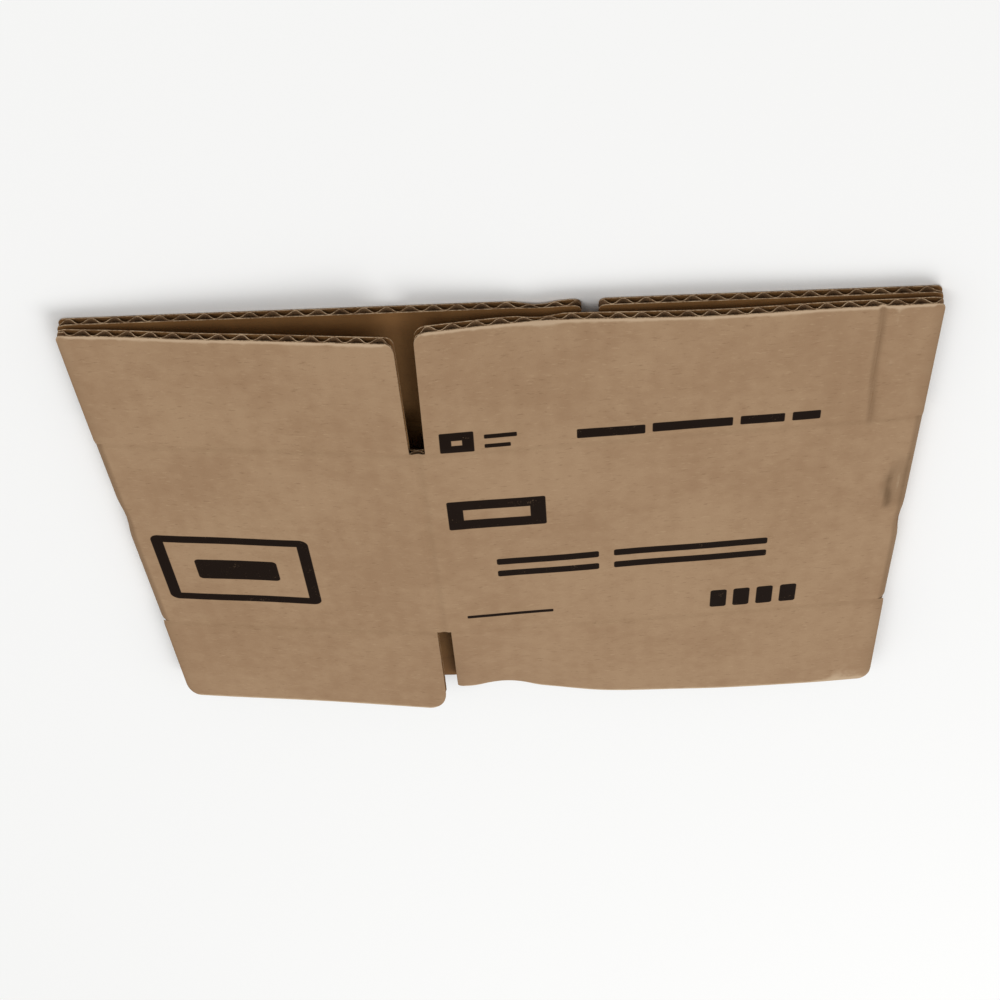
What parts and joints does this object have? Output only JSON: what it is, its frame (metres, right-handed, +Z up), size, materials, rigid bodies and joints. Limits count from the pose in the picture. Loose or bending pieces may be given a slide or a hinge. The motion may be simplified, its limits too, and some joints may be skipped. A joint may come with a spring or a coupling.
{
  "type": "flattened cardboard box",
  "caption": "Slotted corrugated carton folded flat for storage, with top and bottom flaps, crushed score lines, a glued side seam and open flute ends.",
  "frame": {"origin": "middle of the underside, where the seam-side panels lie on a surface", "axes": "+Z up through the thickness, out of the front panels; +X across the panels, from the short front panel to the long one; +Y along the flutes, towards the top flaps"},
  "size_m": [0.256, 0.21, 0.0163],
  "materials": {
    "kraft_board": "matte"
  },
  "bodies": {
    "root": {"flattened_box": "kraft_board"}
  },
  "joints": []
}
